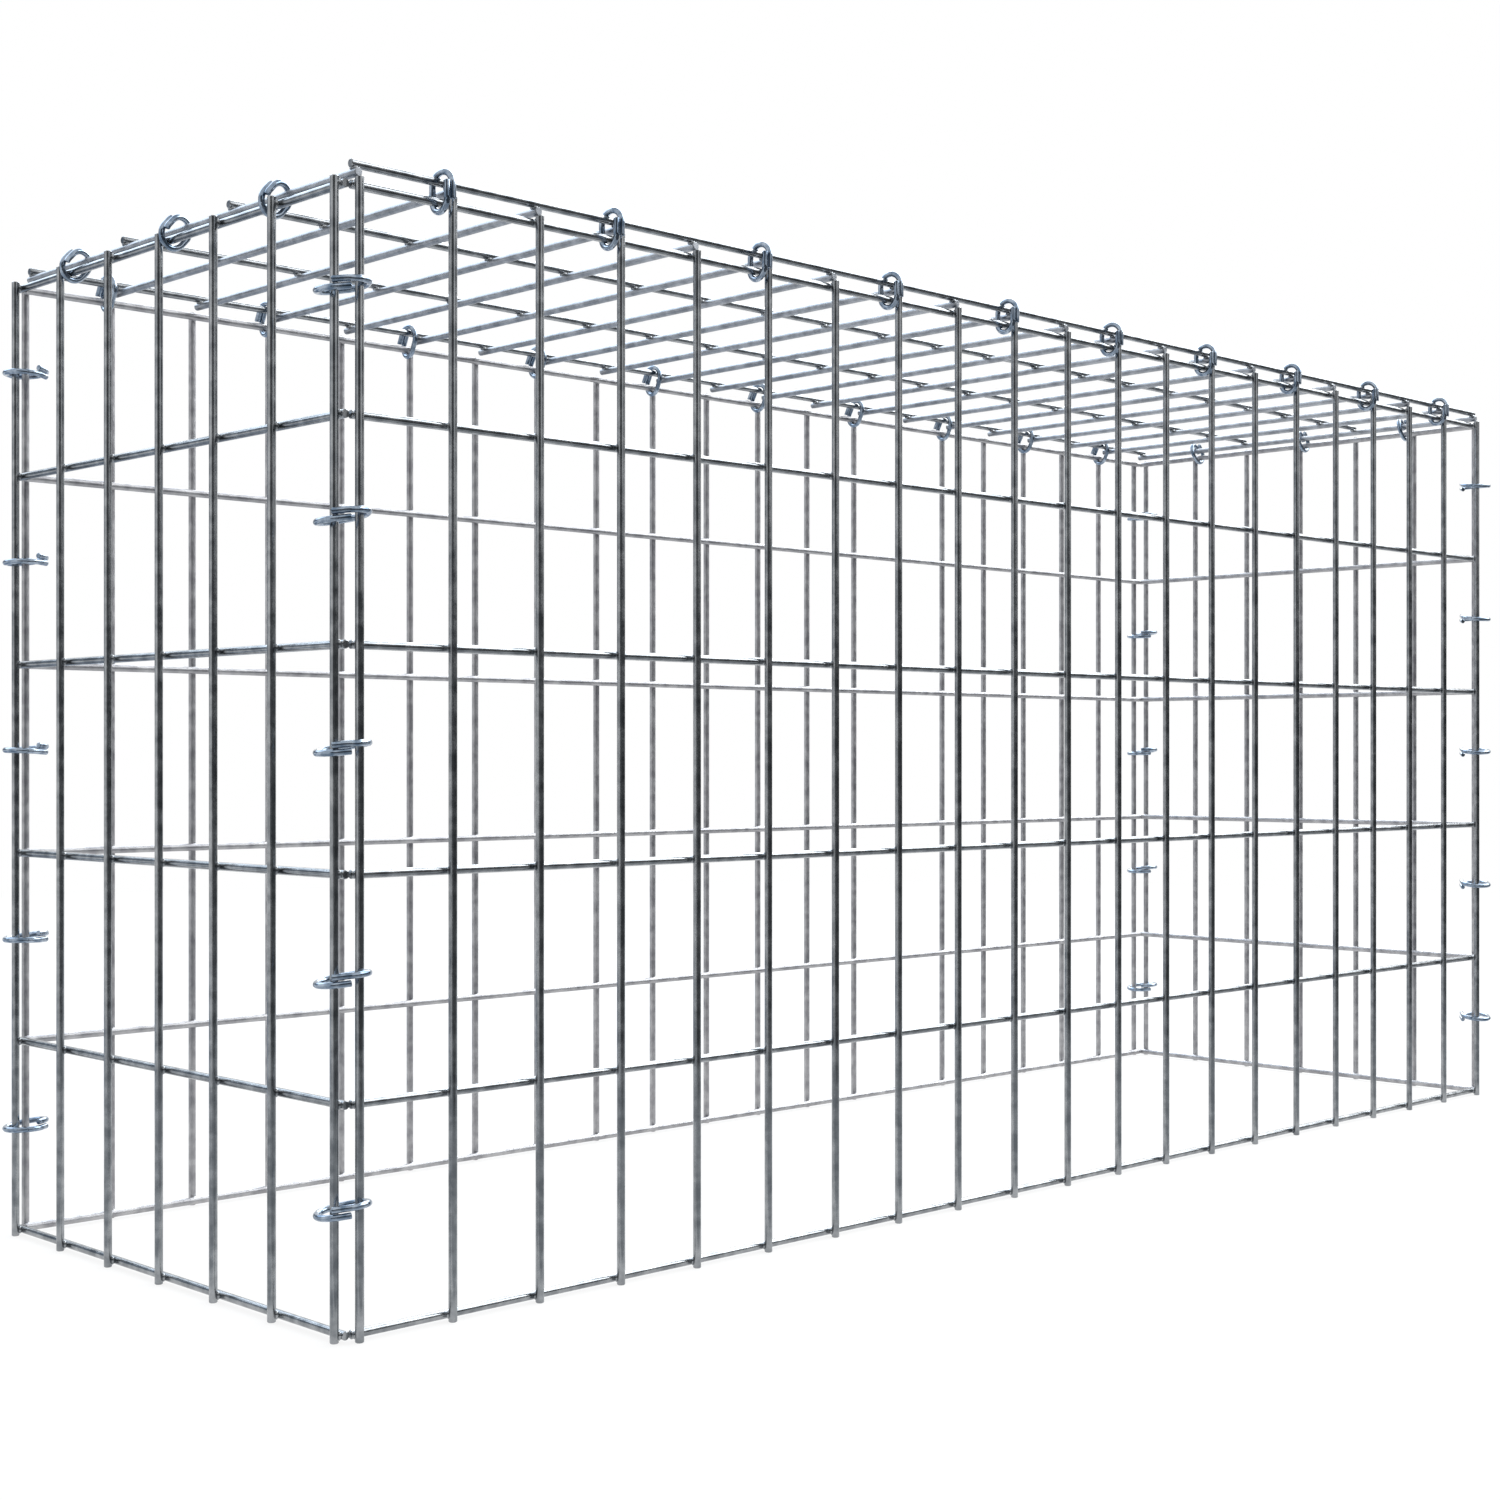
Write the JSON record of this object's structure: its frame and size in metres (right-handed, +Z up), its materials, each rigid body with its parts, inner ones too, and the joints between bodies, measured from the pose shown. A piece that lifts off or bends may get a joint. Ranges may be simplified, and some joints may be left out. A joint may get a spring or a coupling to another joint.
{
  "type": "gabion basket",
  "caption": "Oblong stone-fill basket of welded steel wire mesh panels with a mesh lid, open at the bottom, tied along its edges with closed wire rings.",
  "frame": {"origin": "centre of the bounding box at the level of the cut wire ends that the basket stands on", "axes": "+X along the length, +Z up, -Y out of the front long side"},
  "size_m": [1.0385, 0.3297, 0.5189],
  "materials": {
    "galvanised_mesh_wire": "zinc-coated drawn wire, satin grey with faint mottling, weathered only lightly",
    "galvanised_ring_wire": "bright zinc-coated wire, smoother than the mesh"
  },
  "bodies": {
    "root": {"back_panel": "galvanised_mesh_wire", "front_panel": "galvanised_mesh_wire", "left_end_panel": "galvanised_mesh_wire", "lid_panel": "galvanised_mesh_wire", "right_end_panel": "galvanised_mesh_wire", "back_left_corner_ring_1": "galvanised_ring_wire", "back_left_corner_ring_2": "galvanised_ring_wire", "back_left_corner_ring_3": "galvanised_ring_wire", "back_left_corner_ring_4": "galvanised_ring_wire", "back_left_corner_ring_5": "galvanised_ring_wire", "back_lid_ring_1": "galvanised_ring_wire", "back_lid_ring_10": "galvanised_ring_wire", "back_lid_ring_2": "galvanised_ring_wire", "back_lid_ring_3": "galvanised_ring_wire", "back_lid_ring_4": "galvanised_ring_wire", "back_lid_ring_5": "galvanised_ring_wire", "back_lid_ring_6": "galvanised_ring_wire", "back_lid_ring_7": "galvanised_ring_wire", "back_lid_ring_8": "galvanised_ring_wire", "back_lid_ring_9": "galvanised_ring_wire", "back_right_corner_ring_1": "galvanised_ring_wire", "back_right_corner_ring_2": "galvanised_ring_wire", "back_right_corner_ring_3": "galvanised_ring_wire", "back_right_corner_ring_4": "galvanised_ring_wire", "back_right_corner_ring_5": "galvanised_ring_wire", "front_left_corner_ring_1": "galvanised_ring_wire", "front_left_corner_ring_2": "galvanised_ring_wire", "front_left_corner_ring_3": "galvanised_ring_wire", "front_left_corner_ring_4": "galvanised_ring_wire", "front_left_corner_ring_5": "galvanised_ring_wire", "front_lid_ring_1": "galvanised_ring_wire", "front_lid_ring_10": "galvanised_ring_wire", "front_lid_ring_2": "galvanised_ring_wire", "front_lid_ring_3": "galvanised_ring_wire", "front_lid_ring_4": "galvanised_ring_wire", "front_lid_ring_5": "galvanised_ring_wire", "front_lid_ring_6": "galvanised_ring_wire", "front_lid_ring_7": "galvanised_ring_wire", "front_lid_ring_8": "galvanised_ring_wire", "front_lid_ring_9": "galvanised_ring_wire", "front_right_corner_ring_1": "galvanised_ring_wire", "front_right_corner_ring_2": "galvanised_ring_wire", "front_right_corner_ring_3": "galvanised_ring_wire", "front_right_corner_ring_4": "galvanised_ring_wire", "front_right_corner_ring_5": "galvanised_ring_wire", "left_lid_ring_1": "galvanised_ring_wire", "left_lid_ring_2": "galvanised_ring_wire", "left_lid_ring_3": "galvanised_ring_wire", "right_lid_ring_1": "galvanised_ring_wire", "right_lid_ring_2": "galvanised_ring_wire", "right_lid_ring_3": "galvanised_ring_wire"}
  },
  "joints": []
}
